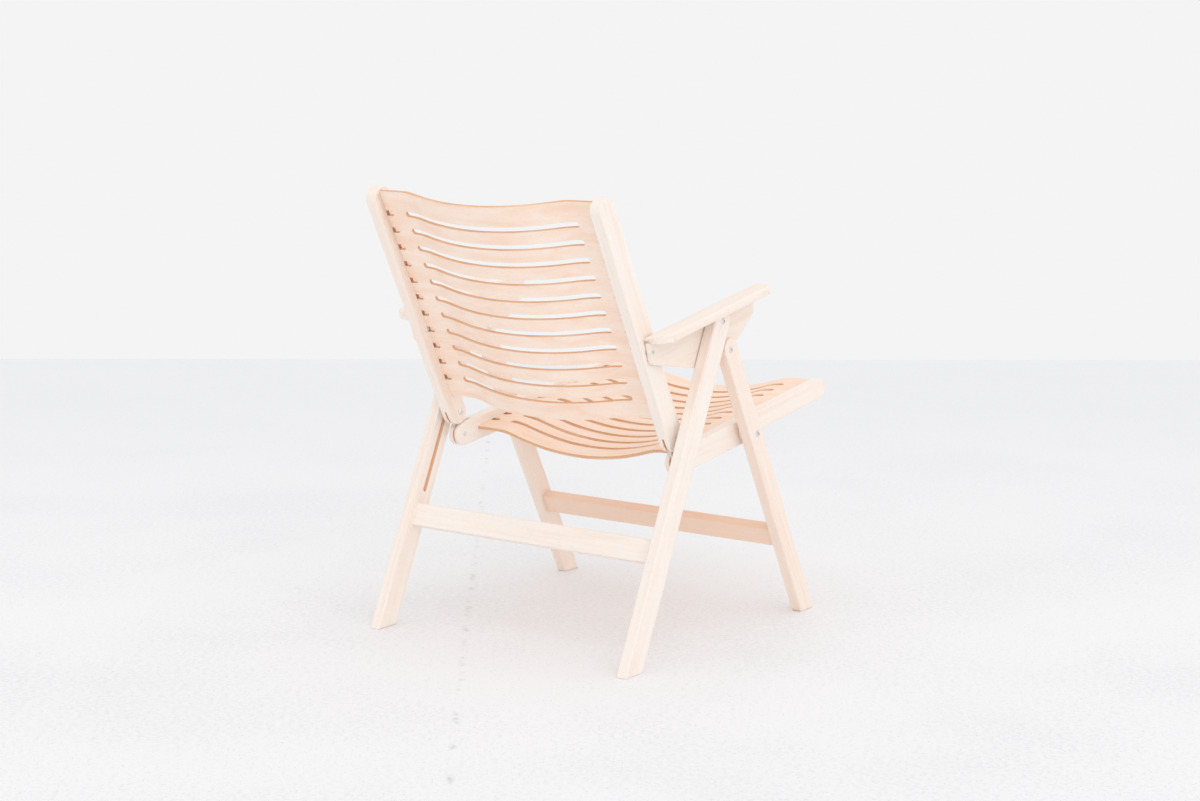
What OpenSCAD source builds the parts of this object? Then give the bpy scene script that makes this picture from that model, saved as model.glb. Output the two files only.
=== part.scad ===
// Folding lounge chair in solid beech with slotted, moulded plywood seat and back.
// The chair faces -Y, +Z is up, and the origin lies on the floor under the middle of its outline.
// Side shapes are drawn in a plane of forward distance from the arm pivot and height above the floor.
// Distances outward from the middle plane are called lateral; the -X side is the sitter's right.

/* [Frame] */
// Width over the outer faces of the legs
leg_span = 530; // [500:1:560]
// Thickness of each leg
leg_t = 19; // [16:0.5:22]
// Thickness of the back stiles and of the seat rails
rail_t = 20; // [16:0.5:24]
// Thickness of the arm brackets
bracket_t = 9; // [9:0.5:12]
// Side gap between boards that turn against each other
side_gap = 1; // [0.8:0.1:1.5]

/* [Linkage] */
// Height of the arm pivot above the floor
pivot_h = 534; // [520:1:550]
// Pivot distance of the arm, of the lower back and of the upper front leg
link_len = 172.5; // [168:0.5:178]
// Lean of the rear legs from upright
rear_lean = 24.7; // [23.5:0.1:26]
// Angle between the arm link and the rear leg when the chair is open
open_angle = 54.3; // [53.5:0.05:56]
// Front leg pivot, forward of the arm pivot
front_pivot_fwd = 22.8; // [20:0.1:26]
// Front leg pivot, below the arm pivot
front_pivot_drop = 48.8; // [46:0.1:53]
// Lean of the front legs from upright
front_lean = 27.4; // [26.5:0.1:28.5]
// Lean of the back from upright
back_lean = 26.4; // [25.5:0.1:27.5]
// Distance from the guide pin to the pin in the seat rail
plate_len = 42; // [41:0.1:44]
// Angle of the link plate forward of straight down
plate_lean = 15.9; // [14:0.1:17]
// Angle left between front and rear legs when the rails come to rest on the front stretcher
fold_short = 1.5; // [1.4:0.1:3]

/* [Legs] */
// Depth of the rear legs
rear_leg_d = 42; // [38:0.5:44]
// Depth of the front legs
front_leg_d = 36; // [32:0.5:40]
// Width of the guide groove in the rear legs
groove_w = 8; // [7.8:0.1:9]
// Depth of the guide groove
groove_depth = 9.5; // [8:0.5:12]
// Distance of the rear stretcher from the arm pivot, along the leg
rear_stretcher_at = 390; // [385:1:400]
// Height of the rear stretcher board
rear_stretcher_h = 39; // [34:0.5:42]
// Distance of the front stretcher from the front leg pivot, along the leg
front_stretcher_at = 386; // [380:1:392]
// Height of the front stretcher board
front_stretcher_h = 35; // [30:0.5:38]
// Thickness of both stretchers
stretcher_t = 20; // [16:0.5:22]
// Length of the stretcher tenons
tenon_len = 12; // [8:0.5:14]
// Thickness of the stretcher tenons
tenon_t = 10; // [8:0.5:12]
// Shoulder left above and below each tenon
tenon_shoulder = 6; // [4:0.5:8]

/* [Arms] */
// Slope of the arm boards, rising to the front
arm_slope = 10.1; // [9:0.1:11]
// Height of the board's underside over the arm pivot, square to the board
arm_under = 13.6; // [13:0.1:15]
// Thickness of the arm boards
arm_t = 14; // [13:0.5:16]
// Width of arm board outside the leg and its gap
arm_lip = 15; // [11:0.5:20]
// Front end of the arm boards, forward of the arm pivot
arm_front = 130; // [124:1:140]
// Rear end of the arm boards, behind the arm pivot
arm_rear = 181; // [178:1:188]
// Slant of the arm board's rear end over its width
arm_rear_slant = 2; // [0:0.5:6]
// Corner radius at the arm board's outer front corner
arm_front_r = 15; // [10:1:24]
// Corner radius at the arm board's outer rear corner
arm_rear_r = 28; // [20:1:32]
// Rounding over the arm board's rear end, as seen from the side
arm_tip_r = 9; // [4:0.5:11]
// Corner radius at the arm board's inner front corner
arm_inner_r = 4; // [2:0.5:8]
// Rounding of the arm board's outer upper edge
arm_edge_r = 4; // [2:0.5:5]
// Rounding of the arm board's outer lower edge
arm_lip_r = 2; // [1:0.5:3]
// Width of the rounded fall on the inner side of the arm's top
arm_fall_w = 26; // [18:1:30]
// Depth of that fall
arm_fall_d = 10; // [6:0.5:11]
// Setback of the bracket from the arm board's rear end
bracket_setback = 0.5; // [0.5:0.5:3]
// Depth of the bracket behind the back pivot, at its lower rear corner
bracket_heel = 20; // [16:0.5:22]
// Distance of that corner behind the back pivot
heel_back = 3.5; // [3:0.5:8]
// Lowest point of the bracket below the board's underside
bracket_drop = 92; // [86:1:98]
// Lowest point of the bracket, behind the arm pivot along the slope
bracket_low_at = 15; // [5:1:30]
// Corner radius at that lowest point
bracket_low_r = 22; // [15:1:28]
// Corner radius at the bracket's lower rear corner
bracket_heel_r = 8; // [6:0.5:10]
// Bend in the front of the bracket, forward of the arm pivot along the slope
chin_at = 82; // [74:1:90]
// Depth of that bend below the board's underside
chin_drop = 58; // [56:1:64]
// Corner radius at that bend
chin_r = 20; // [10:1:30]
// Knee under the front of the bracket, forward of the arm pivot along the slope
knee_at = 122; // [112:1:125]
// Depth of the knee below the board's underside
knee_drop = 33; // [28:1:38]
// Corner radius of the knee
knee_r = 8; // [5:1:12]
// Length of the dowels between bracket and arm board
dowel_len = 22; // [16:1:24]
// Radius of those dowels
dowel_r = 2.5; // [2:0.5:3]
// Distance of the rear dowel from the arm board's rear end
dowel_rear = 41; // [34:1:55]
// Distance of the middle dowel behind the arm pivot
dowel_middle = 60; // [45:1:80]
// Distance of the front dowel from the arm board's front end
dowel_front = 50; // [45:1:55]
// Length of solid board left behind the hidden recess that takes the folded leg
recess_rear = 26; // [24:1:34]

/* [Back] */
// Depth of the stiles
stile_d = 40; // [38:0.5:42]
// Length of the stiles above the guide pin
stile_len = 441; // [439:1:450]
// Corner radius at the top of the stiles
stile_top_r = 16; // [10:1:18]
// Lower edge of the back shell above the guide pin
back_shell_from = 39; // [36:1:42]
// Height of the back shell
back_shell_h = 398; // [394:1:399]
// Radius of the back's hollow
back_r = 400; // [360:5:460]

/* [Seat] */
// Slope of the seat rails, rising to the front
rail_slope = 7.5; // [6.5:0.1:8]
// Length of the seat rails in front of the rear pin
rail_len = 457; // [450:1:465]
// Depth of the seat rails at the rear
rail_d = 40; // [38:0.5:40.4]
// Depth of the seat rails at the front
rail_front_d = 32; // [28:0.5:34]
// Rise of the rail's top edge toward the front
rail_rise = 5; // [2:0.5:8]
// Length of the full rail depth in front of the seat pivot
belly_len = 4; // [0:1:8]
// Length over which the rail's underside then rises
neck_len = 70; // [60:1:80]
// Extra rail depth left at the end of that rise
neck_extra = 4; // [2:0.5:6]
// Corner radius at the front of the rails
nose_r = 15; // [10:0.5:15.5]
// Tilt of the seat shell against the rails
seat_tilt = 1.9; // [1:0.1:2.4]
// Rear edge of the seat shell in front of the rear pin
seat_shell_from = 37; // [35:1:42]
// Length of the seat shell
seat_shell_l = 421; // [415:1:424]
// Radius of the seat's hollow
seat_r = 440; // [400:5:500]

/* [Shells] */
// Thickness of the moulded plywood
ply_t = 6; // [5:0.5:7]
// Depth to which the shells' edges sit in the grooves
shell_seat = 8; // [6:0.5:8.2]
// Half-width of the hollow's main arc
hollow_half_w = 140; // [130:1:146]
// Radius of the arc that turns the hollow into the flat edge
flange_r = 110; // [95:1:125]
// Number of long slots in each shell
slot_count = 11; // [9:1:11]
// Width of the slots
slot_w = 10; // [8.8:0.1:10.6]
// Length of the long slots
slot_len = 348; // [330:1:352]
// Spacing of the slots in the back
back_slot_pitch = 32; // [29:0.1:32.5]
// Spacing of the slots in the seat
seat_slot_pitch = 33.6; // [31:0.1:35]
// Length of the short edge slots in front of the stiles and rails
edge_slot_len = 14.5; // [10:0.5:18]

/* [Metal] */
// Radius of the pivot bolts
bolt_r = 3.5; // [3:0.1:4]
// Radius of the small bolt heads
head_r = 5.5; // [5:0.1:6.5]
// Radius of the heads at the seat pivots
seat_head_r = 6.5; // [5.5:0.1:8]
// Radius of the nuts on the stiles' inner faces, which pass through the shell's edge slots
back_nut_r = 4.6; // [4:0.1:4.8]
// Radius of the countersunk heads at the back pivots and of the pin heads in the rails
small_head_r = 4.5; // [4.2:0.1:5]
// Height of the small bolt heads
head_h = 2.2; // [1.5:0.1:3]
// Radius of the nuts sunk into the brackets
nut_r = 6.5; // [5.5:0.1:7.5]
// Thickness of the sunk nuts and countersunk heads
nut_t = 2; // [1.5:0.1:2.5]
// Radius of the guide bolt in the stile
guide_bolt_r = 4; // [3.8:0.1:4.5]
// Radius of the domed head of the guide bolt
dome_r = 6; // [5.5:0.5:8]
// Height of the domed head
dome_h = 4; // [3:0.5:5]
// Radius of the pins that hold the link plates in the rails
rail_pin_r = 3; // [2.5:0.1:3.5]
// Thickness of the link plates
plate_t = 3; // [2:0.1:4]
// Half-width of the link plates
plate_half_w = 13; // [10:0.5:13]
// Length of the link plate's tail in the rail
plate_tail = 28; // [22:1:32]
// Corner radius at the end of the tail
plate_corner_r = 2; // [1:0.5:4]
// Radius of the inner corner where the tail leaves the plate
plate_bend_r = 6; // [3:0.5:10]
// Outer radius of the washers
washer_r = 8; // [7:0.5:9]
// Outer radius of the wooden spacer rings at the seat pivots
spacer_r = 13; // [10:0.5:15]

/* [Fits] */
// Radial clearance of the turning bolts
run_fit = 0.06; // [0.03:0.01:0.1]
// Clearance round boards, plates and tenons in their grooves
board_fit = 0.1; // [0.05:0.05:0.2]
// Clearance of the guide pin in the groove and of the link plate on its bolt
guide_fit = 0.3; // [0.2:0.05:0.4]
// Gap between pieces that only pass each other
pass_gap = 0.8; // [0.5:0.1:1]

/* [Hidden] */
$fn = 64;
over = 1;
seam = 0.001;

// Lateral places, from the legs inward
leg_in = leg_span / 2 - leg_t;
bracket_out = leg_in - side_gap;
bracket_in = bracket_out - bracket_t;
rail_out = bracket_in - side_gap;
rail_in = rail_out - rail_t;
plate_mid = rail_in + rail_t / 2;
shell_half_w = rail_in + shell_seat;
washer_gap = side_gap / 5;
recess_out = leg_in + leg_t + side_gap;
arm_out = recess_out + arm_lip;

function along(angle) = [cos(angle), sin(angle)];
function turned(p, angle) = [p[0] * cos(angle) - p[1] * sin(angle), p[0] * sin(angle) + p[1] * cos(angle)];
function seen_from(p, base, angle) = turned(p - base, -angle);

// Pivots in the side plane
arm_pivot = [0, pivot_h];
leg_angle = -90 - rear_lean;
back_pivot = arm_pivot + link_len * along(leg_angle - open_angle);
guide_pin = back_pivot + link_len * along(leg_angle + open_angle);
front_pivot = arm_pivot + [front_pivot_fwd, -front_pivot_drop];
seat_pivot = front_pivot + guide_pin - back_pivot;
rail_pin = guide_pin + plate_len * along(plate_lean - 90);

// The chair is folded when the front and rear legs lie nearly parallel
fold_angle = rear_lean + front_lean - fold_short;
groove_from = 2 * link_len * cos(open_angle);
groove_to = 2 * link_len * cos(open_angle - fold_angle);
guide_pin_r = groove_w / 2 - guide_fit;

// Front legs and stiles are centred on the middle of their own two pivots
front_mid = (front_pivot + seat_pivot) / 2;
front_angle = front_lean - 90;
front_top_x = seen_from(front_pivot, front_mid, front_angle)[0];
back_mid = (back_pivot + guide_pin) / 2;
back_angle = 90 + back_lean;
guide_x = seen_from(guide_pin, back_mid, back_angle)[0];

// Seat rail outline: x runs forward from the rail pin, y up
rail_top_front = rail_d / 2 + rail_rise;
rail_low_front = rail_top_front - rail_front_d;
rail_belly_x = seen_from(seat_pivot, rail_pin, rail_slope)[0] + belly_len;
rail_neck_x = rail_belly_x + neck_len;
rail_neck_y = rail_low_front - neck_extra;
belly_r = 60;
neck_r = 90;

// Arm and bracket outline: x runs forward from the arm pivot along the slope, y square to it
recess_clear = rear_leg_d / 2 + pass_gap;
recess_front = 3;
recess_from = recess_rear - arm_rear;
recess_to = rear_leg_d / 2 + recess_front;
bracket_rear_x = bracket_setback - arm_rear;
bracket_front_x = arm_front - 3;
bracket_low = [-bracket_low_at, arm_under - bracket_drop];
bracket_chin = [chin_at, arm_under - chin_drop];
bracket_knee = [knee_at, arm_under - knee_drop];
sharp_r = 0.5;
back_pivot_arm = seen_from(back_pivot, arm_pivot, arm_slope);
dowel_xs = [dowel_rear - arm_rear, -dowel_middle, arm_front - dowel_front];
dowel_above = dowel_len / 3;

// Shell depth at the middle, and the half-width at which its edge is flat
function hollow_angle(r) = asin(hollow_half_w / r);
function hollow_depth(r) = (r + flange_r) * (1 - cos(hollow_angle(r)));
function flat_from(r) = hollow_half_w + flange_r * sin(hollow_angle(r));

// Foremost and rearmost points set the middle of the outline
seat_angle = rail_slope + seat_tilt;
seat_shell_end = seat_shell_from + seat_shell_l;
nose_center = [rail_len - nose_r, rail_top_front - nose_r];
rail_reach = (rail_pin + turned(nose_center, rail_slope))[0] + nose_r;
shell_reach = (rail_pin + turned([seat_shell_end, -hollow_depth(seat_r) - ply_t / 2], seat_angle))[0];
front_reach = max(rail_reach, shell_reach);
back_shell_end = guide_x + back_shell_from + back_shell_h;
rear_reach = (back_mid + turned([back_shell_end, hollow_depth(back_r) + ply_t / 2], back_angle))[0];
middle = (front_reach + rear_reach) / 2;

// Puts the side plane into the chair; a child's own z becomes lateral distance on the right
module side_plane() {
    translate([0, middle, 0]) rotate([90, 0, -90]) children();
}

// A frame on a point of the side plane, with its x axis at the given angle
module frame_at(point, angle) {
    side_plane() translate([point[0], point[1], 0]) rotate(angle) children();
}

module left() {
    mirror([1, 0, 0]) children();
}

module both_sides() {
    children();
    left() children();
}

// A straight round bore or pin between two lateral distances
module round_at(point, r, from, to) {
    side_plane() translate([point[0], point[1], from]) cylinder(r = r, h = to - from);
}

// A slice of a ball: flat side at the start, top outward when out is 1, inward when it is -1
module dome_at(point, r, h, from, out) {
    ball_r = (r * r + h * h) / (2 * h);
    side_plane() translate([point[0], point[1], from]) mirror([0, 0, out > 0 ? 0 : 1])
        intersection() {
            translate([0, 0, h - ball_r]) sphere(r = ball_r);
            cylinder(r = r, h = h);
        }
}

// Corner arc of a rounded outline, from one side's tangent point to the other's
function corner(before, at, after, r, steps = 8) =
    let (
        a = (before - at) / norm(before - at),
        b = (after - at) / norm(after - at),
        half = acos(a * b) / 2,
        reach = r / tan(half),
        middle_dir = (a + b) / norm(a + b),
        center = at + middle_dir * r / sin(half),
        start = at + a * reach - center,
        end = at + b * reach - center,
        turn = sign(start[0] * end[1] - start[1] * end[0]) * (180 - 2 * half)
    )
    [for (i = [0 : steps]) center + turned(start, turn * i / steps)];

// Outline with rounded corners: each entry is [x, y, radius]
function rounded(pts) =
    let (n = len(pts))
    [for (i = [0 : n - 1])
        let (p = pts[i], q = pts[(i + n - 1) % n], s = pts[(i + 1) % n])
        for (c = corner([q[0], q[1]], [p[0], p[1]], [s[0], s[1]], p[2])) c];

// Legs

// Length of a leg edge from height h down to the floor, y being the distance in front of its axis
function to_floor(h, lean, y) = (h + y * sin(lean)) / cos(lean);

module leg_outline(top_x, h, lean, d) {
    translate([top_x, 0]) circle(d = d);
    polygon([
        [top_x, -d / 2], [to_floor(h, lean, -d / 2), -d / 2],
        [to_floor(h, lean, d / 2), d / 2], [top_x, d / 2]
    ]);
}

module mortise(x, h) {
    translate([x - h / 2 + tenon_shoulder - board_fit, -tenon_t / 2 - board_fit, leg_in - over])
        cube([h - 2 * tenon_shoulder + 2 * board_fit, tenon_t + 2 * board_fit,
              tenon_len + board_fit + over]);
}

module stretcher(x, h) {
    translate([x - h / 2, -stretcher_t / 2, -leg_in]) cube([h, stretcher_t, 2 * leg_in]);
    translate([x - h / 2 + tenon_shoulder, -tenon_t / 2, -leg_in - tenon_len])
        cube([h - 2 * tenon_shoulder, tenon_t, 2 * (leg_in + tenon_len)]);
}

// The groove that leads the guide pin, square to the leg's inner face
module guide_groove() {
    for (x = [groove_from, groove_to])
        translate([x, 0, leg_in - over]) cylinder(d = groove_w, h = groove_depth + over);
    translate([groove_from, -groove_w / 2, leg_in - over])
        cube([groove_to - groove_from, groove_w, groove_depth + over]);
}

module rear_leg() {
    difference() {
        frame_at(arm_pivot, leg_angle) difference() {
            translate([0, 0, leg_in]) linear_extrude(leg_t)
                leg_outline(0, pivot_h, -rear_lean, rear_leg_d);
            guide_groove();
            mortise(rear_stretcher_at, rear_stretcher_h);
        }
        round_at(arm_pivot, bolt_r, leg_in - over, leg_in + leg_t + over);
    }
}

module rear_leg_right() {
    color("#f4dcc8") rear_leg();
}

module rear_leg_left() {
    color("#f4dcc8") left() rear_leg();
}

module rear_stretcher() {
    color("#f2d6bf") frame_at(arm_pivot, leg_angle) stretcher(rear_stretcher_at, rear_stretcher_h);
}

module front_leg() {
    difference() {
        frame_at(front_mid, front_angle) difference() {
            translate([0, 0, leg_in]) linear_extrude(leg_t)
                leg_outline(front_top_x, front_mid[1], front_lean, front_leg_d);
            mortise(front_top_x + front_stretcher_at, front_stretcher_h);
        }
        round_at(front_pivot, bolt_r, leg_in - over, leg_in + leg_t + over);
        round_at(seat_pivot, bolt_r, leg_in - over, leg_in + leg_t + over);
    }
}

module front_leg_right() {
    color("#f4dcc8") front_leg();
}

module front_leg_left() {
    color("#f4dcc8") left() front_leg();
}

module front_stretcher() {
    color("#f2d6bf") frame_at(front_mid, front_angle)
        stretcher(front_top_x + front_stretcher_at, front_stretcher_h);
}

// Bolts through a leg into a bracket, with a nut sunk in the bracket's inner face

module bracket_bolt(point) {
    round_at(point, bolt_r, bracket_in + washer_gap, leg_in + leg_t);
    dome_at(point, head_r, head_h, leg_in + leg_t, 1);
}

module bracket_nut(point) {
    difference() {
        round_at(point, nut_r, bracket_in + washer_gap, bracket_in + washer_gap + nut_t);
        round_at(point, bolt_r, bracket_in, bracket_in + washer_gap + nut_t + over);
    }
}

module leg_washer(point) {
    difference() {
        round_at(point, washer_r, bracket_out + washer_gap, leg_in);
        round_at(point, bolt_r, bracket_out, leg_in + over);
    }
}

module nut_seat(point) {
    round_at(point, bolt_r + run_fit, bracket_in - over, bracket_out + over);
    round_at(point, nut_r + board_fit, bracket_in - over, bracket_in + washer_gap + nut_t + board_fit);
}

module arm_pivot_bolts() {
    color("silver") both_sides() bracket_bolt(arm_pivot);
}

module arm_pivot_nuts() {
    color("silver") both_sides() bracket_nut(arm_pivot);
}

module arm_pivot_washers() {
    color("silver") both_sides() leg_washer(arm_pivot);
}

module front_leg_bolts() {
    color("silver") both_sides() bracket_bolt(front_pivot);
}

module front_leg_nuts() {
    color("silver") both_sides() bracket_nut(front_pivot);
}

module front_leg_washers() {
    color("silver") both_sides() leg_washer(front_pivot);
}

// Seat pivots: the bolt ends inside the rail, and a wooden ring keeps rail and leg apart
seat_bolt_end = plate_mid;

module seat_pivot_bolts() {
    color("silver") both_sides() {
        round_at(seat_pivot, bolt_r, seat_bolt_end, leg_in + leg_t);
        dome_at(seat_pivot, seat_head_r, head_h, leg_in + leg_t, 1);
    }
}

module seat_pivot_spacers() {
    color("#e8c8a8") both_sides() difference() {
        round_at(seat_pivot, spacer_r, rail_out + washer_gap, leg_in);
        round_at(seat_pivot, bolt_r, rail_out, leg_in + over);
    }
}

// Arms

// Seen from above: x forward, y the lateral distance; the rear end runs at a slant
module arm_plan() {
    polygon(rounded([
        [arm_front, bracket_in, arm_inner_r], [arm_front, arm_out, arm_front_r],
        [arm_rear_slant - arm_rear, arm_out, arm_rear_r], [-arm_rear, bracket_in, sharp_r]
    ]));
}

// Cross-section: x the lateral distance, y the height over the pivot
module arm_section() {
    top = arm_under + arm_t;
    polygon(concat(
        [[bracket_in, arm_under]],
        corner([bracket_in, arm_under], [arm_out, arm_under], [arm_out, top], arm_lip_r, 4),
        corner([arm_out, arm_under], [arm_out, top], [bracket_in, top], arm_edge_r, 6),
        [for (a = [0 : 7.5 : 90])
            [bracket_in + arm_fall_w * (1 - sin(a)), top - arm_fall_d * (1 - cos(a))]]
    ));
}

// Seen from the side: only the rear end is rounded over
module arm_profile() {
    top = arm_under + arm_t;
    front = arm_front + over;
    polygon(concat([[front, arm_under - over], [front, top + over], [arm_tip_r - arm_rear, top + over]],
        corner([front, top], [-arm_rear, top], [-arm_rear, arm_under - over], arm_tip_r, 6),
        [[-arm_rear, arm_under - over]]));
}

module arm_board() {
    frame_at(arm_pivot, arm_slope) difference() {
        intersection() {
            translate([0, arm_under + arm_t, 0]) rotate([90, 0, 0]) linear_extrude(arm_t) arm_plan();
            translate([-arm_rear - over, 0, 0]) rotate([0, 90, 0]) mirror([1, 0, 0])
                linear_extrude(arm_rear + arm_front + 2 * over) arm_section();
            translate([0, 0, bracket_in - over]) linear_extrude(arm_out - bracket_in + 2 * over) arm_profile();
        }
        translate([recess_from, arm_under - over, bracket_out])
            cube([recess_to - recess_from, recess_clear - arm_under + over, recess_out - bracket_out]);
        dowel_holes(dowel_r + board_fit, board_fit);
    }
}

module dowel_holes(r, extra) {
    for (x = dowel_xs)
        translate([x, arm_under + dowel_above + extra, (bracket_in + bracket_out) / 2])
            rotate([90, 0, 0]) cylinder(r = r, h = dowel_len + 2 * extra);
}

module bracket_outline() {
    heel = back_pivot_arm - [heel_back, bracket_heel];
    polygon(rounded([
        [bracket_rear_x, arm_under, sharp_r], [heel[0], heel[1], bracket_heel_r],
        [bracket_low[0], bracket_low[1], bracket_low_r], [bracket_chin[0], bracket_chin[1], chin_r],
        [bracket_knee[0], bracket_knee[1], knee_r], [bracket_front_x, arm_under, sharp_r]
    ]));
}

module arm_bracket() {
    difference() {
        frame_at(arm_pivot, arm_slope) difference() {
            translate([0, 0, bracket_in]) linear_extrude(bracket_t) bracket_outline();
            dowel_holes(dowel_r + board_fit, board_fit);
        }
        nut_seat(arm_pivot);
        nut_seat(front_pivot);
        round_at(back_pivot, bolt_r + run_fit, bracket_in - over, bracket_out + over);
        side_plane() translate([back_pivot[0], back_pivot[1], bracket_out - nut_t])
            cylinder(r1 = bolt_r + board_fit, r2 = small_head_r + board_fit, h = nut_t + seam);
    }
}

module arm_board_right() {
    color("#f4dcc8") arm_board();
}

module arm_board_left() {
    color("#f4dcc8") left() arm_board();
}

module arm_bracket_right() {
    color("#f0d2b8") arm_bracket();
}

module arm_bracket_left() {
    color("#f0d2b8") left() arm_bracket();
}

module arm_dowels_right() {
    color("#e8c8a8") frame_at(arm_pivot, arm_slope) dowel_holes(dowel_r, 0);
}

module arm_dowels_left() {
    color("#e8c8a8") left() frame_at(arm_pivot, arm_slope) dowel_holes(dowel_r, 0);
}

// Moulded shells: the middle line bulges toward +y and runs out flat at both edges

function hollow_line(r, n1 = 14, n2 = 6) =
    let (a = hollow_angle(r), depth = hollow_depth(r), edge = flat_from(r))
    concat(
        [[-shell_half_w, 0, 0]],
        [for (i = [0 : n2 - 1]) let (b = a * i / n2) [-edge + flange_r * sin(b), flange_r * (1 - cos(b)), b]],
        [for (i = [0 : 2 * n1]) let (b = a * (1 - i / n1)) [-r * sin(b), depth - r * (1 - cos(b)), b]],
        [for (i = [n2 - 1 : -1 : 0]) let (b = a * i / n2) [edge - flange_r * sin(b), flange_r * (1 - cos(b)), -b]],
        [[shell_half_w, 0, 0]]
    );

module shell_section(r) {
    line = hollow_line(r);
    n = len(line);
    upper = [for (p = line) [p[0] - sin(p[2]) * ply_t / 2, p[1] + cos(p[2]) * ply_t / 2]];
    lower = [for (p = line) [p[0] + sin(p[2]) * ply_t / 2, p[1] - cos(p[2]) * ply_t / 2]];
    polygon(concat(upper, [for (i = [n - 1 : -1 : 0]) lower[i]]));
}

// One row of slots: a long one and a short one at each edge, all with round ends
module slot_row(depth) {
    end = slot_len / 2 - slot_w / 2;
    edge_from = rail_in - edge_slot_len + slot_w / 2;
    rotate([-90, 0, 0]) translate([0, 0, -ply_t]) linear_extrude(depth + 2 * ply_t) {
        square([slot_w, 2 * end], center = true);
        for (s = [-1, 1]) {
            translate([0, s * end]) circle(d = slot_w);
            translate([0, s * edge_from]) circle(d = slot_w);
            translate([-slot_w / 2, s > 0 ? edge_from : -shell_half_w - over])
                square([slot_w, shell_half_w + over - edge_from]);
        }
    }
}

// A shell of the given length along x, with the middle row of its slots at row_x
module shell(length, r, pitch, row_x) {
    difference() {
        rotate([0, 90, 0]) linear_extrude(length) shell_section(r);
        for (i = [0 : slot_count - 1])
            translate([row_x + (i - (slot_count - 1) / 2) * pitch, 0, 0]) slot_row(hollow_depth(r));
    }
}

module shell_groove(from, to) {
    translate([from - board_fit, -ply_t / 2 - board_fit, rail_in - over])
        cube([to - from + 2 * board_fit, ply_t + 2 * board_fit, shell_seat + board_fit + over]);
}

// Back

module stile_outline() {
    top_x = guide_x + stile_len;
    translate([guide_x + pass_gap, 0]) circle(d = stile_d);
    translate([guide_x + pass_gap, -stile_d / 2]) square([stile_len - pass_gap - stile_top_r, stile_d]);
    translate([top_x - 2 * stile_top_r, stile_top_r - stile_d / 2])
        square([2 * stile_top_r, stile_d - 2 * stile_top_r]);
    for (s = [-1, 1])
        translate([top_x - stile_top_r, s * (stile_d / 2 - stile_top_r)]) circle(r = stile_top_r);
}

module back_stile() {
    difference() {
        frame_at(back_mid, back_angle) difference() {
            translate([0, 0, rail_in]) linear_extrude(rail_t) stile_outline();
            shell_groove(guide_x + back_shell_from, back_shell_end);
            translate([guide_x - stile_d, -stile_d, plate_mid - plate_t / 2 - guide_fit])
                cube([stile_d + plate_half_w + pass_gap, 2 * stile_d, plate_t + 2 * guide_fit]);
        }
        round_at(guide_pin, guide_bolt_r, rail_in - over, rail_out + over);
        round_at(back_pivot, bolt_r, rail_in - over, rail_out + over);
    }
}

module back_stile_right() {
    color("#f4dcc8") back_stile();
}

module back_stile_left() {
    color("#f4dcc8") left() back_stile();
}

// The bolt of each back pivot passes through an edge slot, two rows below the middle one
module back_shell() {
    shell_x = guide_x + back_shell_from;
    color("#f0cdb0") frame_at(back_mid, back_angle) translate([shell_x, 0, 0])
        shell(back_shell_h, back_r, back_slot_pitch, 2 * back_slot_pitch - guide_x - shell_x);
}

module back_pivot_bolts() {
    color("silver") both_sides() {
        round_at(back_pivot, bolt_r, rail_in, bracket_out);
        side_plane() translate([back_pivot[0], back_pivot[1], bracket_out - nut_t])
            cylinder(r1 = bolt_r, r2 = small_head_r, h = nut_t);
    }
}

module back_pivot_nuts() {
    color("silver") both_sides() dome_at(back_pivot, back_nut_r, head_h, rail_in, -1);
}

module back_pivot_washers() {
    color("silver") both_sides() difference() {
        round_at(back_pivot, washer_r, rail_out, bracket_in - washer_gap);
        round_at(back_pivot, bolt_r, rail_out - over, bracket_in);
    }
}

module guide_bolts() {
    color("silver") both_sides() {
        dome_at(guide_pin, dome_r, dome_h, rail_in, -1);
        round_at(guide_pin, guide_bolt_r, rail_in, rail_out);
        round_at(guide_pin, guide_pin_r, rail_out, leg_in + groove_depth - pass_gap);
    }
}

// Seat

module rail_outline() {
    r = rail_d / 2;
    circle(r = r);
    polygon(rounded([
        [0, r, sharp_r], [0, -r, sharp_r], [rail_belly_x, -r, belly_r], [rail_neck_x, rail_neck_y, neck_r],
        [rail_len, rail_low_front, nose_r], [rail_len, rail_top_front, nose_r]
    ]));
}

module seat_rail() {
    difference() {
        frame_at(rail_pin, rail_slope) translate([0, 0, rail_in]) linear_extrude(rail_t) rail_outline();
        frame_at(rail_pin, seat_angle) shell_groove(seat_shell_from, seat_shell_end + nose_r);
        frame_at(rail_pin, rail_slope) translate([-rail_d, -rail_d, plate_mid - plate_t / 2 - board_fit])
            cube([rail_d + plate_tail + board_fit, 2 * rail_d, plate_t + 2 * board_fit]);
        round_at(rail_pin, rail_pin_r, rail_in - over, rail_out + over);
        round_at(seat_pivot, bolt_r + run_fit, seat_bolt_end - pass_gap, rail_out + over);
    }
}

module seat_rail_right() {
    color("#f4dcc8") seat_rail();
}

module seat_rail_left() {
    color("#f4dcc8") left() seat_rail();
}

module seat_shell() {
    color("#f0cdb0") frame_at(rail_pin, seat_angle) translate([seat_shell_from, 0, 0])
        mirror([0, 1, 0]) shell(seat_shell_l, seat_r, seat_slot_pitch, seat_shell_l / 2);
}

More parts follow.
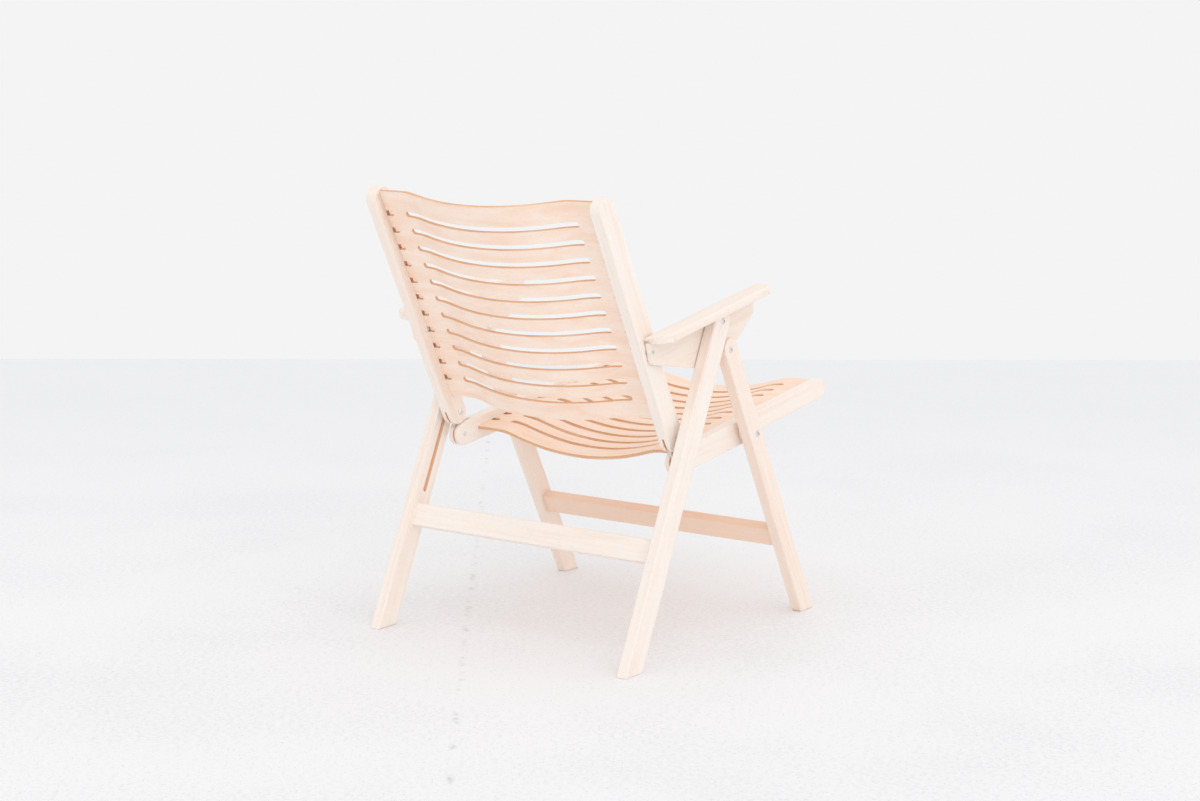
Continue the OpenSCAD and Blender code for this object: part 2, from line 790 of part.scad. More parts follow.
// Link plate outline in the rail's frame: an eye round the guide bolt and a tail in the rail
module link_outline() {
    w = plate_half_w;
    round_r = 0.95 * w;
    link_angle = plate_lean + 90 - rail_slope;
    up = along(link_angle);
    ahead = along(link_angle - 90);
    eye = plate_len * up;
    foot_x = -w * ahead[0] - (w - w * ahead[1]) / tan(link_angle);
    knee_x = w * ahead[0] + (w - w * ahead[1]) / tan(link_angle);
    top_rear = eye + w * up - w * ahead;
    top_front = eye + w * up + w * ahead;
    polygon(rounded([
        [foot_x, -w, round_r], [plate_tail, -w, plate_corner_r], [plate_tail, w, plate_corner_r],
        [knee_x, w, plate_bend_r], [top_front[0], top_front[1], round_r], [top_rear[0], top_rear[1], round_r]
    ]));
}

// The plate stands fast in the rail's slot and turns on the guide bolt in the stile's slot
module link_plate() {
    z = plate_mid - plate_t / 2;
    difference() {
        frame_at(rail_pin, rail_slope) translate([0, 0, z]) linear_extrude(plate_t) link_outline();
        round_at(guide_pin, guide_bolt_r + guide_fit, z - over, z + plate_t + over);
        round_at(rail_pin, rail_pin_r, z - over, z + plate_t + over);
    }
}

module link_plate_right() {
    color("silver") link_plate();
}

module link_plate_left() {
    color("silver") left() link_plate();
}

module link_pins() {
    color("silver") both_sides() {
        round_at(rail_pin, rail_pin_r, rail_in, rail_out);
        dome_at(rail_pin, small_head_r, head_h, rail_in, -1);
        dome_at(rail_pin, small_head_r, head_h, rail_out, 1);
    }
}

rear_leg_left();
rear_leg_right();
rear_stretcher();
arm_pivot_bolts();
arm_pivot_nuts();
arm_pivot_washers();
front_leg_left();
front_leg_right();
front_stretcher();
front_leg_bolts();
front_leg_nuts();
front_leg_washers();
seat_pivot_bolts();
seat_pivot_spacers();
arm_board_left();
arm_board_right();
arm_bracket_left();
arm_bracket_right();
arm_dowels_left();
arm_dowels_right();
back_stile_left();
back_stile_right();
back_shell();
back_pivot_bolts();
back_pivot_nuts();
back_pivot_washers();
guide_bolts();
seat_rail_left();
seat_rail_right();
seat_shell();
link_plate_left();
link_plate_right();
link_pins();
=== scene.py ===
import math

import bmesh
import bpy
from mathutils import Matrix, Vector
from mathutils.bvhtree import BVHTree


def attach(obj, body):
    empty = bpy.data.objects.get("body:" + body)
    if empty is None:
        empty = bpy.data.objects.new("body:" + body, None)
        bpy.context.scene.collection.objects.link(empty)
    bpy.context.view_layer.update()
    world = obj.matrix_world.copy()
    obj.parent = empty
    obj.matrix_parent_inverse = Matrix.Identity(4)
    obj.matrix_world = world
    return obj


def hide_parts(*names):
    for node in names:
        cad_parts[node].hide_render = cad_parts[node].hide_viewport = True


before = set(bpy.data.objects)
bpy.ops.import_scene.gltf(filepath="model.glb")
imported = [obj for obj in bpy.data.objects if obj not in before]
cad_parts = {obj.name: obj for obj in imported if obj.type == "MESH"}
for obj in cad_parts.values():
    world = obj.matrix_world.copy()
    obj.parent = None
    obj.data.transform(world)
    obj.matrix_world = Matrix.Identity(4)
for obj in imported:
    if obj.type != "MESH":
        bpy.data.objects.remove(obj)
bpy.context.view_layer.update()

mm = 0.001


def linear(hexColour):
    parts = [int(hexColour[i:i + 2], 16) / 255 for i in (1, 3, 5)]
    return tuple(c / 12.92 if c <= 0.04045 else ((c + 0.055) / 1.055) ** 2.4 for c in parts) + (1.0,)


def addNode(tree, kind, inputs=None, links=None, steps=None, **settings):
    # steps are the places and colours of a colour ramp
    node = tree.nodes.new(kind)
    for name, value in settings.items():
        setattr(node, name, value)
    for name, value in (inputs or {}).items():
        node.inputs[name].default_value = value
    for name, source in (links or {}).items():
        tree.links.new(source, node.inputs[name])
    if steps:
        colours = node.color_ramp.elements
        while len(colours) < len(steps):
            colours.new(0.5)
        for element, (place, colour) in zip(colours, steps):
            element.position = place
            element.color = linear(colour)
    return node


def newMaterial(name):
    material = bpy.data.materials.new(name)
    material.use_nodes = True
    tree = material.node_tree
    tree.nodes.clear()
    return material, tree


# Solid beech: pale, even, with long faint streaks, short brown flecks and a thin matt lacquer
beech = {
    "palest": "#FBF6F1",
    "middle": "#F9F0E8",
    "darkest": "#F5E3D6",
    "fleck": "#E6BE9C",
    "warm": "#F7B985",      # mixed in for the boards cut from redder wood, and as painted shade for the pieces that stand in shade and for the insides of grooves
    "paintedGrooveShade": 0.8,    # painted shade: the insides of grooves, slots and bores are painted darker and redder, for the warm shade that falls in them
    "streakWidth": 7.0,     # mm across the grain
    "streakLength": 160.0,  # mm along it
    "fleckWidth": 0.9,      # mm, drawn three times as coarse as the real ones so that they show
    "fleckLength": 7.0,
    "fleckShare": 0.3,
    "roughness": 0.46,
    "poreDepth": 0.06,      # mm
}


def beechMaterial(name, grainTilt=0.0, shift=(0, 0, 0), warmthAndShade=0.0, alongX=False):
    # grainTilt turns the side plane so that the board's length lies along Y
    material, tree = newMaterial(name)
    place = addNode(tree, "ShaderNodeTexCoord").outputs["Object"]
    turned = addNode(tree, "ShaderNodeMapping", {
        "Rotation": (math.radians(grainTilt), 0, 0), "Location": shift},
        {"Vector": place}).outputs["Vector"]

    def stretch(width, length):
        across, along = 1 / (width * mm), 1 / (length * mm)
        return (along, across, across) if alongX else (across, along, across)

    streakPlace = addNode(tree, "ShaderNodeMapping", {
        "Scale": stretch(beech["streakWidth"], beech["streakLength"])}, {"Vector": turned})
    streak = addNode(tree, "ShaderNodeTexNoise", {
        "Scale": 1.0, "Detail": 5.0, "Roughness": 0.6, "Distortion": 0.4},
        {"Vector": streakPlace.outputs["Vector"]}).outputs["Fac"]
    broadPlace = addNode(tree, "ShaderNodeMapping", {
        "Scale": stretch(beech["streakWidth"] * 5, beech["streakLength"] * 2)}, {"Vector": turned})
    broad = addNode(tree, "ShaderNodeTexNoise", {"Scale": 1.0, "Detail": 2.0},
                    {"Vector": broadPlace.outputs["Vector"]}).outputs["Fac"]
    both = addNode(tree, "ShaderNodeMix", {"Factor": 0.4}, {"A": streak, "B": broad}).outputs["Result"]
    wood = addNode(tree, "ShaderNodeValToRGB", links={"Fac": both}, steps=[
        (0.3, beech["palest"]), (0.5, beech["middle"]), (0.74, beech["darkest"])]).outputs["Color"]
    fleckPlace = addNode(tree, "ShaderNodeMapping", {
        "Scale": stretch(beech["fleckWidth"], beech["fleckLength"])}, {"Vector": turned})
    flecks = addNode(tree, "ShaderNodeTexNoise", {"Scale": 1.0, "Detail": 1.0},
                     {"Vector": fleckPlace.outputs["Vector"]}).outputs["Fac"]
    fleckMask = addNode(tree, "ShaderNodeMapRange", {
        "From Min": 0.62, "From Max": 0.72, "To Min": 0.0, "To Max": beech["fleckShare"]},
        {"Value": flecks}).outputs["Result"]
    flecked = addNode(tree, "ShaderNodeMix", {"B": linear(beech["fleck"])},
                      {"Factor": fleckMask, "A": wood}, data_type="RGBA").outputs["Result"]
    colour = addNode(tree, "ShaderNodeMix", {"Factor": warmthAndShade, "B": linear(beech["warm"])}, {"A": flecked},
                     data_type="RGBA").outputs["Result"]
    shine = addNode(tree, "ShaderNodeMapRange", {
        "To Min": beech["roughness"] - 0.05, "To Max": beech["roughness"] + 0.08},
        {"Value": streak}).outputs["Result"]
    relief = addNode(tree, "ShaderNodeBump", {"Strength": 0.35, "Distance": beech["poreDepth"] * mm},
                     {"Height": flecks}).outputs["Normal"]
    surface = addNode(tree, "ShaderNodeBsdfPrincipled", {"Coat Weight": 0.12, "Coat Roughness": 0.3},
                      {"Base Color": colour, "Roughness": shine, "Normal": relief})
    addNode(tree, "ShaderNodeOutputMaterial", links={"Surface": surface.outputs["BSDF"]})
    return material


# Moulded beech plywood: rotary-cut face veneer, and edges where pale and brown layers alternate
ply = {
    "palest": "#FDEDE0",
    "middle": "#FDE6D5",
    "darkest": "#FBDBC5",
    "fleck": "#E8BC98",
    "layers": 5,
    "layerPale": "#F2CDAE",
    "layerBrown": "#DDA67A",
    "glueLine": "#C08255",
    "veneerWidth": 16.0,    # mm
    "veneerLength": 110.0,
    "fleckWidth": 1.1,      # mm
    "fleckLength": 8.0,
    "fibreSize": 1.111,     # mm, in the cut edges
    "poreDepth": 0.06,      # mm
    "roughness": 0.5,
}


def veneerMaterial(name, warmthAndShade):
    material, tree = newMaterial(name)
    place = addNode(tree, "ShaderNodeTexCoord").outputs["Object"]

    def stretch(width, length):
        return (1 / (length * mm), 1 / (width * mm), 1 / (width * mm))

    figurePlace = addNode(tree, "ShaderNodeMapping", {
        "Scale": stretch(ply["veneerWidth"], ply["veneerLength"])}, {"Vector": place})
    figure = addNode(tree, "ShaderNodeTexNoise", {"Scale": 1.0, "Detail": 4.0, "Distortion": 0.5},
                     {"Vector": figurePlace.outputs["Vector"]}).outputs["Fac"]
    wood = addNode(tree, "ShaderNodeValToRGB", links={"Fac": figure}, steps=[
        (0.3, ply["palest"]), (0.5, ply["middle"]), (0.72, ply["darkest"])]).outputs["Color"]
    fleckPlace = addNode(tree, "ShaderNodeMapping", {
        "Scale": stretch(ply["fleckWidth"], ply["fleckLength"])}, {"Vector": place})
    flecks = addNode(tree, "ShaderNodeTexNoise", {"Scale": 1.0, "Detail": 1.0},
                     {"Vector": fleckPlace.outputs["Vector"]}).outputs["Fac"]
    mask = addNode(tree, "ShaderNodeMapRange", {"From Min": 0.6, "From Max": 0.72, "To Max": 0.3},
                   {"Value": flecks}).outputs["Result"]
    flecked = addNode(tree, "ShaderNodeMix", {"B": linear(ply["fleck"])}, {"Factor": mask, "A": wood},
                      data_type="RGBA").outputs["Result"]
    colour = addNode(tree, "ShaderNodeMix", {"Factor": warmthAndShade, "B": linear(beech["warm"])}, {"A": flecked},
                     data_type="RGBA").outputs["Result"]
    relief = addNode(tree, "ShaderNodeBump", {"Strength": 0.3, "Distance": ply["poreDepth"] * mm},
                     {"Height": flecks}).outputs["Normal"]
    surface = addNode(tree, "ShaderNodeBsdfPrincipled", {
        "Roughness": ply["roughness"], "Coat Weight": 0.1, "Coat Roughness": 0.35},
        {"Base Color": colour, "Normal": relief})
    addNode(tree, "ShaderNodeOutputMaterial", links={"Surface": surface.outputs["BSDF"]})
    return material


def plyEdgeMaterial(name):
    # The layer attribute runs from 0 on one face of the shell to 1 on the other
    material, tree = newMaterial(name)
    layer = addNode(tree, "ShaderNodeAttribute", attribute_name="layer").outputs["Fac"]
    steps = []
    for i in range(ply["layers"]):
        start = i / ply["layers"]
        steps += [(start + 0.004, ply["layerBrown" if i % 2 else "layerPale"]),
                  (start + 1 / ply["layers"] - 0.03, ply["layerBrown" if i % 2 else "layerPale"]),
                  (start + 1 / ply["layers"] - 0.015, ply["glueLine"])]
    edge = addNode(tree, "ShaderNodeValToRGB", links={"Fac": layer}, steps=steps[:-1]).outputs["Color"]
    place = addNode(tree, "ShaderNodeTexCoord").outputs["Object"]
    fibres = addNode(tree, "ShaderNodeTexNoise", {"Scale": 1 / (ply["fibreSize"] * mm), "Detail": 2.0},
                     {"Vector": place}).outputs["Fac"]
    shade = addNode(tree, "ShaderNodeMapRange", {"From Min": 0.3, "From Max": 0.8, "To Max": 0.35},
                    {"Value": fibres}).outputs["Result"]
    colour = addNode(tree, "ShaderNodeMix", {"B": linear(ply["layerBrown"])}, {"Factor": shade, "A": edge},
                     data_type="RGBA").outputs["Result"]
    surface = addNode(tree, "ShaderNodeBsdfPrincipled", {"Roughness": 0.62}, {"Base Color": colour})
    addNode(tree, "ShaderNodeOutputMaterial", links={"Surface": surface.outputs["BSDF"]})
    return material


# Zinc-plated and polished steel: bright plain grey, with fine turning marks that soften its glints
steel = {
    "colour": "#E9E6E2",
    "roughness": 0.3,
    "polished": "#EDEAE7",
    "polishedRoughness": 0.16,
    "markSize": 0.4,        # mm
}


def steelMaterial(name, colour, roughness):
    material, tree = newMaterial(name)
    place = addNode(tree, "ShaderNodeTexCoord").outputs["Object"]
    marks = addNode(tree, "ShaderNodeTexNoise", {"Scale": 1 / (steel["markSize"] * mm), "Detail": 3.0},
                    {"Vector": place}).outputs["Fac"]
    shine = addNode(tree, "ShaderNodeMapRange", {"To Min": roughness - 0.1, "To Max": roughness + 0.12},
                    {"Value": marks}).outputs["Result"]
    surface = addNode(tree, "ShaderNodeBsdfPrincipled", {"Base Color": linear(colour), "Metallic": 1.0},
                      {"Roughness": shine})
    addNode(tree, "ShaderNodeOutputMaterial", links={"Surface": surface.outputs["BSDF"]})
    return material


def onlyThis(obj):
    bpy.ops.object.select_all(action="DESELECT")
    obj.select_set(True)
    bpy.context.view_layer.objects.active = obj


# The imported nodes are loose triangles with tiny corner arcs
cleaning = {
    "mergeWithin": 0.002,   # mm
    "flatWithin": 0.2,      # degrees
    "tinyEdge": 0.15,       # mm
}


def copyOfNode(node):
    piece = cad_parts[node].copy()
    piece.data = piece.data.copy()
    for key in [k for k in piece.keys() if k.startswith("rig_")]:
        del piece[key]
    piece.name = piece.data.name = node + "_dressed"
    piece.parent = None
    bpy.context.scene.collection.objects.link(piece)
    piece.data.materials.clear()
    onlyThis(piece)
    bpy.ops.object.mode_set(mode="EDIT")
    bpy.ops.mesh.select_all(action="SELECT")
    bpy.ops.mesh.remove_doubles(threshold=cleaning["mergeWithin"] * mm)
    bpy.ops.mesh.dissolve_limited(angle_limit=math.radians(cleaning["flatWithin"]))
    bpy.ops.object.mode_set(mode="OBJECT")
    return piece


def sharpenCorners(piece):
    # The tiny corner arcs become single corners, which roundEdges then turns into wide clean ones
    onlyThis(piece)
    bpy.ops.object.mode_set(mode="EDIT")
    bpy.ops.mesh.select_mode(type="EDGE")
    bpy.ops.mesh.select_all(action="DESELECT")
    mesh = bmesh.from_edit_mesh(piece.data)
    for edge in mesh.edges:
        edge.select_set(edge.calc_length() < cleaning["tinyEdge"] * mm)
    bmesh.update_edit_mesh(piece.data)
    if any(edge.select for edge in mesh.edges):
        bpy.ops.mesh.merge(type="COLLAPSE")
    bpy.ops.object.mode_set(mode="OBJECT")


def roundEdges(piece, width, steps, sharpest=35, wanted=lambda edge: True):
    # Rounds the outward edges that turn by more than sharpest degrees and for which wanted(edge) is true
    onlyThis(piece)
    bpy.ops.object.mode_set(mode="EDIT")
    bpy.ops.mesh.select_mode(type="EDGE")
    bpy.ops.mesh.select_all(action="DESELECT")
    mesh = bmesh.from_edit_mesh(piece.data)
    for edge in mesh.edges:
        sharp = len(edge.link_faces) == 2 and edge.calc_face_angle_signed(0) > math.radians(sharpest)
        edge.select_set(sharp and wanted(edge))
    bmesh.update_edit_mesh(piece.data)
    bpy.ops.mesh.bevel(offset=width * mm, segments=steps, affect="EDGES", clamp_overlap=False)
    bpy.ops.object.mode_set(mode="OBJECT")


def evenNormals(piece, smoothest):
    # Large flat faces keep their own direction, so that only the roundings shade from one face to the next
    onlyThis(piece)
    bpy.ops.object.shade_smooth_by_angle(angle=math.radians(smoothest))
    weighted = piece.modifiers.new("evenNormals", "WEIGHTED_NORMAL")
    weighted.keep_sharp = True
    weighted.weight = 100
    bpy.ops.object.modifier_apply(modifier="evenNormals")


def finishPiece(piece, node, body, smoothest=32):
    evenNormals(piece, smoothest)
    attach(piece, body)
    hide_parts(node)


print("room, floor and camera")

# The camera stands behind the sitter's right shoulder, as in the photograph
cameraSet = {
    "place": (-2.257, 3.1138, 0.991),
    "lookAt": (-0.212, 0.2998, 0.434),
    "lens": 68.7,          # on a 36 mm sensor
    "roll": 0.06,          # degrees
}

camera = bpy.data.objects.new("camera", bpy.data.cameras.new("camera"))
bpy.context.scene.collection.objects.link(camera)
camera.data.lens = cameraSet["lens"]
camera.data.sensor_width = 36
camera.data.clip_end = 100
toChair = Vector(cameraSet["lookAt"]) - Vector(cameraSet["place"])
aim = toChair.to_track_quat("-Z", "Y").to_matrix().to_4x4()
roll = Matrix.Rotation(math.radians(cameraSet["roll"]), 4, "Z")
camera.matrix_world = Matrix.Translation(cameraSet["place"]) @ (aim @ roll)
bpy.context.scene.camera = camera
bpy.context.scene.view_settings.view_transform = "Standard"

# White studio: even light from all round, and two broad soft lamps so far off that the floor is evenly lit
roomLight = {
    "roomColour": "#FFFDFB",
    "roomStrength": 0.89,
    "wallColour": "#F4F4F4",
    "darkSide": 0.5,       # share of the wall's light that metal mirrors from the camera's side of the room
    "lamps": {
        "ceilingLamp": {"from": (-0.25, 0.15, 1.0), "spread": 70, "strength": 0.29, "colour": "#FDFEFF"},
        "sideLamp": {"from": (-0.9, 0.6, 0.4), "spread": 60, "strength": 0.54, "colour": "#F8FBFF"},
    },
}

world = bpy.data.worlds.new("studio")
bpy.context.scene.world = world
world.use_nodes = True
tree = world.node_tree
tree.nodes.clear()
ray = addNode(tree, "ShaderNodeLightPath")
seen = addNode(tree, "ShaderNodeMath", links={
    0: ray.outputs["Is Camera Ray"], 1: ray.outputs["Is Transmission Ray"]}, operation="MAXIMUM").outputs[0]
mirrored = addNode(tree, "ShaderNodeMath", links={
    0: seen, 1: ray.outputs["Is Glossy Ray"]}, operation="MAXIMUM").outputs[0]
room = addNode(tree, "ShaderNodeBackground", {
    "Color": linear(roomLight["roomColour"]), "Strength": roomLight["roomStrength"]}).outputs[0]
# The camera's side of the room is darker, which only metal shows
lookedAt = addNode(tree, "ShaderNodeTexCoord").outputs["Generated"]
toCamera = addNode(tree, "ShaderNodeVectorMath", links={0: lookedAt}, operation="DOT_PRODUCT")
toCamera.inputs[1].default_value = -toChair.normalized()
dark = addNode(tree, "ShaderNodeMapRange", {
    "From Min": 0.1, "From Max": 0.85, "To Min": 1.0, "To Max": roomLight["darkSide"]},
    {"Value": toCamera.outputs["Value"]}).outputs["Result"]
wallShine = addNode(tree, "ShaderNodeMath", links={0: dark, 1: seen}, operation="MAXIMUM").outputs[0]
wall = addNode(tree, "ShaderNodeBackground", {"Color": linear(roomLight["wallColour"])},
               {"Strength": wallShine}).outputs[0]
mixed = addNode(tree, "ShaderNodeMixShader", links={"Fac": mirrored, 1: room, 2: wall}).outputs[0]
addNode(tree, "ShaderNodeOutputWorld", links={"Surface": mixed})

for name, lamp in roomLight["lamps"].items():
    light = bpy.data.lights.new(name, "SUN")
    light.angle = math.radians(lamp["spread"])
    light.energy = lamp["strength"]
    light.color = linear(lamp["colour"])[:3]
    holder = bpy.data.objects.new(name, light)
    bpy.context.scene.collection.objects.link(holder)
    holder.rotation_euler = Vector(lamp["from"]).to_track_quat("Z", "Y").to_euler()


# Sealed concrete: chalky white with soft specks, small air holes and one filled joint
floorSet = {
    "behindChair": 3.14,     # metres from the chair to where the floor meets the wall
    "reach": 24.0,           # metres
    "colour": "#F5F6F9",
    "speckColour": "#E9EBEF",
    "speckSize": 9.0,        # mm
    "cloudSize": 454.5,      # mm
    "pitColour": "#CDD0D4",
    "pitSize": 4.0,          # mm, twice the size of real air holes so that they show
    "pitShare": 0.6,
    "farColour": "#EAECEF",  # toward the wall less light falls on the floor
    "farBand": (3.2, 0.8),   # metres before the wall where this starts and ends
    "farShare": 0.8,
    "jointColour": "#BFC1C4",
    "jointWidth": 16.0,      # mm
    "jointAside": 0.232,     # metres from the room's middle, under the chair's far side
    "jointSlope": 0.028,
    "dirtSize": 71.43,       # mm
    "dirtShare": 0.8,
}


def floorMaterial():
    material, tree = newMaterial("sealedConcrete")
    place = addNode(tree, "ShaderNodeTexCoord").outputs["Object"]

    spot = addNode(tree, "ShaderNodeSeparateXYZ", links={"Vector": place})
    ahead = spot.outputs["X"]
    wallAt = floorSet["reach"] / 2
    specks = addNode(tree, "ShaderNodeTexNoise", {
        "Scale": 1 / (floorSet["speckSize"] * mm), "Detail": 4.0, "Roughness": 0.7},
        {"Vector": place}).outputs["Fac"]
    clouds = addNode(tree, "ShaderNodeTexNoise", {
        "Scale": 1 / (floorSet["cloudSize"] * mm), "Detail": 3.0},
        {"Vector": place}).outputs["Fac"]
    both = addNode(tree, "ShaderNodeMix", {"Factor": 0.35}, {"A": specks, "B": clouds}).outputs["Result"]
    near = addNode(tree, "ShaderNodeValToRGB", links={"Fac": both}, steps=[
        (0.34, floorSet["speckColour"]), (0.52, floorSet["colour"])]).outputs["Color"]
    farFrom, farTo = floorSet["farBand"]
    far = addNode(tree, "ShaderNodeMapRange", {
        "From Min": wallAt - farFrom, "From Max": wallAt - farTo, "To Max": floorSet["farShare"]},
        {"Value": ahead}).outputs["Result"]
    shaded = addNode(tree, "ShaderNodeMix", {"B": linear(floorSet["farColour"])},
                     {"Factor": far, "A": near}, data_type="RGBA").outputs["Result"]
    holes = addNode(tree, "ShaderNodeTexNoise", {
        "Scale": 1 / (floorSet["pitSize"] * mm), "Detail": 2.0},
        {"Vector": place}).outputs["Fac"]
    pits = addNode(tree, "ShaderNodeMapRange", {
        "From Min": 0.6, "From Max": 0.72, "To Max": floorSet["pitShare"]},
        {"Value": holes}).outputs["Result"]
    pitted = addNode(tree, "ShaderNodeMix", {"B": linear(floorSet["pitColour"])},
                     {"Factor": pits, "A": shaded}, data_type="RGBA").outputs["Result"]
    # The joint runs away from the camera and is dirty only here and there
    slope = floorSet["jointSlope"]
    start = floorSet["jointAside"] - slope * (wallAt - floorSet["behindChair"])
    line = addNode(tree, "ShaderNodeMath", {1: slope, 2: start}, {0: ahead},
                   operation="MULTIPLY_ADD").outputs[0]
    aside = addNode(tree, "ShaderNodeMath", links={0: spot.outputs["Y"], 1: line},
                    operation="SUBTRACT").outputs[0]
    fromJoint = addNode(tree, "ShaderNodeMath", links={0: aside}, operation="ABSOLUTE").outputs[0]
    joint = addNode(tree, "ShaderNodeMapRange", {
        "From Min": 0.0, "From Max": floorSet["jointWidth"] / 2 * mm, "To Min": 1.0, "To Max": 0.0},
        {"Value": fromJoint}).outputs["Result"]
    patches = addNode(tree, "ShaderNodeTexNoise", {
        "Scale": 1 / (floorSet["dirtSize"] * mm), "Detail": 5.0, "Roughness": 0.75},
        {"Vector": place}).outputs["Fac"]
    dirt = addNode(tree, "ShaderNodeMapRange", {
        "From Min": 0.52, "From Max": 0.66, "To Max": floorSet["dirtShare"]},
        {"Value": patches}).outputs["Result"]
    marks = addNode(tree, "ShaderNodeMath", links={0: joint, 1: dirt}, operation="MULTIPLY").outputs[0]
    colour = addNode(tree, "ShaderNodeMix", {"B": linear(floorSet["jointColour"])},
                     {"Factor": marks, "A": pitted}, data_type="RGBA").outputs["Result"]
    surface = addNode(tree, "ShaderNodeBsdfPrincipled", {"Roughness": 0.7, "Specular IOR Level": 0.3},
                      {"Base Color": colour})
    addNode(tree, "ShaderNodeOutputMaterial", links={"Surface": surface.outputs["BSDF"]})
    return material


away = Vector((toChair.x, toChair.y, 0)).normalized()
bpy.ops.object.select_all(action="DESELECT")
middle = away * (floorSet["behindChair"] - floorSet["reach"] / 2)
bpy.ops.mesh.primitive_plane_add(
    size=floorSet["reach"], location=middle, rotation=(0, 0, math.atan2(away.y, away.x)))
floor = bpy.context.object
floor.name = "floor"
floor.data.materials.append(floorMaterial())

print("boards")

# Which edges of the boards are rounded and which faces are bare end grain, in mm
edging = {
    "steps": 3,             # facets across a rounding
    "boreClear": 7.0,       # edges this near a bolt's axis stay sharp, because its head and nut cover them
    "onTop": 0.02,          # how near the widest face's plane its own corners lie
    "onOutline": 0.05,      # how near its outline the other rounded edges end
    "longEdge": 100.0,      # a stretcher's rounded edges are longer
    "offMiddle": 1.0,       # and centred this well
}
grooves = {
    "widest": 45.0,         # how far apart two walls are at most
    "belowFace": 0.1,       # how deep a floor lies at least
    "lift": 0.01,           # how far off its own face a ray starts
}

# Bolts and pins all run along X
boltAxes = []
for name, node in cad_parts.items():
    if name.endswith(("_bolts", "_pins")):
        spots = [node.matrix_world @ v.co for v in node.data.vertices]
        boltAxes.append([(min(p[i] for p in spots) + max(p[i] for p in spots)) / 2 for i in (1, 2)])


def widestFace(piece, node):
    # The face that has no groove or recess: an arm board's top, any other board's outside
    def size(face):
        return face.area * face.normal.z if "arm_board" in node else face.area

    return max(piece.data.polygons, key=size)


def isLongEdge(edge):
    # A stretcher's long edges reach equally far to both sides of the chair's middle
    first, second = [v.co.x for v in edge.verts]
    isLong = edge.calc_length() > edging["longEdge"] * mm
    return isLong and abs(first + second) < edging["offMiddle"] * mm


def edgesOfBoard(piece, node):
    # Tells which edges are rounded: never those of bores, grooves, slots, recesses and tenons
    if "stretcher" in node:
        return isLongEdge
    widest = widestFace(piece, node)
    square = widest.normal.copy()
    top = widest.center.dot(square)

    def flat(place):
        return place - square * place.dot(square)

    onTop = edging["onTop"] * mm
    outline = [flat(v.co) for v in piece.data.vertices if abs(v.co.dot(square) - top) < onTop]

    def onOutline(place):
        if any(math.hypot(place.y - y, place.z - z) < edging["boreClear"] * mm for y, z in boltAxes):
            return False
        return any((flat(place) - spot).length < edging["onOutline"] * mm for spot in outline)

    return lambda edge: onOutline(edge.verts[0].co) and onOutline(edge.verts[1].co)


def paintShadeInGrooves(piece, square):
    # Painted shade: faces inside grooves, slots and bores get the second material, a darker and redder
    # wood that stands in for the shade in them. Floors lie between the board's two large faces, and walls
    # look at another wall of the same board
    mesh = piece.data
    corners = [v.co for v in mesh.vertices]
    solid = BVHTree.FromPolygons(corners, [list(face.vertices) for face in mesh.polygons])
    depths = [corner.dot(square) for corner in corners]
    lowest, highest = min(depths) + grooves["belowFace"] * mm, max(depths) - grooves["belowFace"] * mm
    for face in mesh.polygons:
        isFloor = lowest < face.center.dot(square) < highest and abs(face.normal.dot(square)) > 0.99
        start = face.center + face.normal * grooves["lift"] * mm
        isWall = solid.ray_cast(start, face.normal, grooves["widest"] * mm)[0] is not None
        face.material_index = 1 if isFloor or isWall else 0


